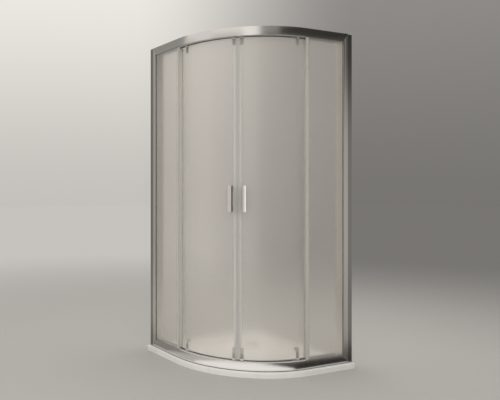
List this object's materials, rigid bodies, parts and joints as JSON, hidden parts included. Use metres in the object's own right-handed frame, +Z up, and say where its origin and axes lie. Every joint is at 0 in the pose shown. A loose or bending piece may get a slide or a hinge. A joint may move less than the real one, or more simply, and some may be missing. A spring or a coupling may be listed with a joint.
{
  "type": "quadrant shower enclosure",
  "caption": "Quadrant shower enclosure on a low tray, with curved sliding doors on rollers, flat side panels, curved rails, wall posts, magnetic seals and bar handles.",
  "frame": {"origin": "on the floor, under the middle of the 900 mm square that the tray is cut from", "axes": "+Z up; -X and +Y point at the two room walls; the curved front with its doors faces +X and -Y"},
  "size_m": [0.9, 0.9, 1.982],
  "materials": {
    "tray_acrylic": "smooth white acrylic with a soft shine",
    "satin_glass": "satin, lightly frosted toughened glass",
    "bright_aluminium": "bright anodised extrusion with fine lengthwise drawing lines",
    "chrome": "polished chrome plate",
    "handle_chrome": "polished chrome plate",
    "stainless_steel": "plain stainless sheet and bar",
    "clear_seal": "clear flexible seal",
    "magnet_grey": "dark grey flexible magnet strip",
    "black_rubber": "matt black rubber",
    "grey_plastic": "moulded grey plastic",
    "wheel_nylon": "natural nylon",
    "button_plastic": "light grey moulded push button"
  },
  "bodies": {
    "enclosure": {"shower_tray": "tray_acrylic", "waste_body": "chrome", "top_rail": "bright_aluminium", "bottom_rail": "bright_aluminium", "slot_fillers": "grey_plastic", "wall_profile_left": "bright_aluminium", "wall_profile_right": "bright_aluminium", "side_post_left": "bright_aluminium", "side_post_right": "bright_aluminium", "post_caps": "grey_plastic", "screw_caps": "grey_plastic", "corner_connectors_left": "grey_plastic", "corner_connectors_right": "grey_plastic", "frame_screws": "stainless_steel", "fixed_glass_left": "satin_glass", "fixed_glass_right": "satin_glass", "rail_glazing_gaskets_left": "black_rubber", "rail_glazing_gaskets_right": "black_rubber", "post_glazing_gasket_left": "black_rubber", "post_glazing_gasket_right": "black_rubber", "panel_edge_seal_left": "clear_seal", "panel_edge_seal_right": "clear_seal", "door_stops": "black_rubber"},
    "waste_cover": {"waste_cover": "chrome"},
    "left_door": {"door_glass_left": "satin_glass", "door_handle_left": "handle_chrome", "handle_screws_left": "chrome", "magnet_strip_left": "magnet_grey", "magnet_seal_left": "clear_seal", "seal_end_blocks_left": "black_rubber", "trailing_seal_left": "clear_seal", "top_brackets_left": "stainless_steel", "bottom_brackets_left": "stainless_steel", "wheel_axles_left": "stainless_steel", "clamp_screws_left": "chrome", "release_housings_left": "grey_plastic"},
    "left_top_leading_wheels": {"top_leading_wheels_left": "wheel_nylon"},
    "left_bottom_leading_wheels": {"bottom_leading_wheels_left": "wheel_nylon"},
    "left_leading_release": {"leading_release_button_left": "button_plastic"},
    "left_top_trailing_wheels": {"top_trailing_wheels_left": "wheel_nylon"},
    "left_bottom_trailing_wheels": {"bottom_trailing_wheels_left": "wheel_nylon"},
    "left_trailing_release": {"trailing_release_button_left": "button_plastic"},
    "right_door": {"door_glass_right": "satin_glass", "door_handle_right": "handle_chrome", "handle_screws_right": "chrome", "magnet_strip_right": "magnet_grey", "magnet_seal_right": "clear_seal", "seal_end_blocks_right": "black_rubber", "trailing_seal_right": "clear_seal", "top_brackets_right": "stainless_steel", "bottom_brackets_right": "stainless_steel", "wheel_axles_right": "stainless_steel", "clamp_screws_right": "chrome", "release_housings_right": "grey_plastic"},
    "right_top_leading_wheels": {"top_leading_wheels_right": "wheel_nylon"},
    "right_bottom_leading_wheels": {"bottom_leading_wheels_right": "wheel_nylon"},
    "right_leading_release": {"leading_release_button_right": "button_plastic"},
    "right_top_trailing_wheels": {"top_trailing_wheels_right": "wheel_nylon"},
    "right_bottom_trailing_wheels": {"bottom_trailing_wheels_right": "wheel_nylon"},
    "right_trailing_release": {"trailing_release_button_right": "button_plastic"}
  },
  "joints": [
    {"name": "left_door_slide", "type": "hinge", "parent": "enclosure", "child": "left_door", "pos_m": [-0.1908, 0.2155, 0], "axis": [0, 0, -1], "range_deg": [0, 21.66]},
    {"name": "left_top_leading_wheels_roll", "type": "hinge", "parent": "left_door", "child": "left_top_leading_wheels", "pos_m": [0.22664, -0.25916, 1.9458], "axis": [0.6728, -0.7398, 0], "range_deg": [0, 1247]},
    {"name": "left_bottom_leading_wheels_roll", "type": "hinge", "parent": "left_door", "child": "left_bottom_leading_wheels", "pos_m": [0.22664, -0.25916, 0.0682], "axis": [-0.6728, 0.7398, 0], "range_deg": [0, 1247]},
    {"name": "left_leading_release_press", "type": "slide", "parent": "left_door", "child": "left_leading_release", "axis": [0.6728, -0.7398, 0], "range_m": [0, 0.004], "stiffness_N_per_m": 250, "springref_m": -0.004},
    {"name": "left_top_trailing_wheels_roll", "type": "hinge", "parent": "left_door", "child": "left_top_trailing_wheels", "pos_m": [-0.07501, -0.38484, 1.9458], "axis": [0.0515, -0.9987, 0], "range_deg": [0, 1206]},
    {"name": "left_bottom_trailing_wheels_roll", "type": "hinge", "parent": "left_door", "child": "left_bottom_trailing_wheels", "pos_m": [-0.07501, -0.38484, 0.0682], "axis": [-0.0515, 0.9987, 0], "range_deg": [0, 1206]},
    {"name": "left_trailing_release_press", "type": "slide", "parent": "left_door", "child": "left_trailing_release", "axis": [0.0515, -0.9987, 0], "range_m": [0, 0.004], "stiffness_N_per_m": 250, "springref_m": -0.004},
    {"name": "right_door_slide", "type": "hinge", "parent": "enclosure", "child": "right_door", "pos_m": [-0.2155, 0.1908, 0], "axis": [0, 0, 1], "range_deg": [0, 21.66]},
    {"name": "right_top_leading_wheels_roll", "type": "hinge", "parent": "right_door", "child": "right_top_leading_wheels", "pos_m": [0.25916, -0.22664, 1.9458], "axis": [-0.7398, 0.6728, 0], "range_deg": [0, 1247]},
    {"name": "right_bottom_leading_wheels_roll", "type": "hinge", "parent": "right_door", "child": "right_bottom_leading_wheels", "pos_m": [0.25916, -0.22664, 0.0682], "axis": [0.7398, -0.6728, 0], "range_deg": [0, 1247]},
    {"name": "right_leading_release_press", "type": "slide", "parent": "right_door", "child": "right_leading_release", "axis": [0.7398, -0.6728, 0], "range_m": [0, 0.004], "stiffness_N_per_m": 250, "springref_m": -0.004},
    {"name": "right_top_trailing_wheels_roll", "type": "hinge", "parent": "right_door", "child": "right_top_trailing_wheels", "pos_m": [0.38484, 0.07501, 1.9458], "axis": [-0.9987, 0.0515, 0], "range_deg": [0, 1206]},
    {"name": "right_bottom_trailing_wheels_roll", "type": "hinge", "parent": "right_door", "child": "right_bottom_trailing_wheels", "pos_m": [0.38484, 0.07501, 0.0682], "axis": [0.9987, -0.0515, 0], "range_deg": [0, 1206]},
    {"name": "right_trailing_release_press", "type": "slide", "parent": "right_door", "child": "right_trailing_release", "axis": [0.9987, -0.0515, 0], "range_m": [0, 0.004], "stiffness_N_per_m": 250, "springref_m": -0.004},
    {"name": "waste_cover_lift", "type": "slide", "parent": "enclosure", "child": "waste_cover", "axis": [0, 0, 1], "range_m": [0, 0.06]}
  ],
  "couplings": [
    {"joint": "left_top_leading_wheels_roll", "follows": "left_door_slide", "ratio": 57.5},
    {"joint": "left_bottom_leading_wheels_roll", "follows": "left_door_slide", "ratio": 57.5},
    {"joint": "left_top_trailing_wheels_roll", "follows": "left_door_slide", "ratio": 55.6},
    {"joint": "left_bottom_trailing_wheels_roll", "follows": "left_door_slide", "ratio": 55.6},
    {"joint": "right_top_leading_wheels_roll", "follows": "right_door_slide", "ratio": 57.5},
    {"joint": "right_bottom_leading_wheels_roll", "follows": "right_door_slide", "ratio": 57.5},
    {"joint": "right_top_trailing_wheels_roll", "follows": "right_door_slide", "ratio": 55.6},
    {"joint": "right_bottom_trailing_wheels_roll", "follows": "right_door_slide", "ratio": 55.6}
  ]
}
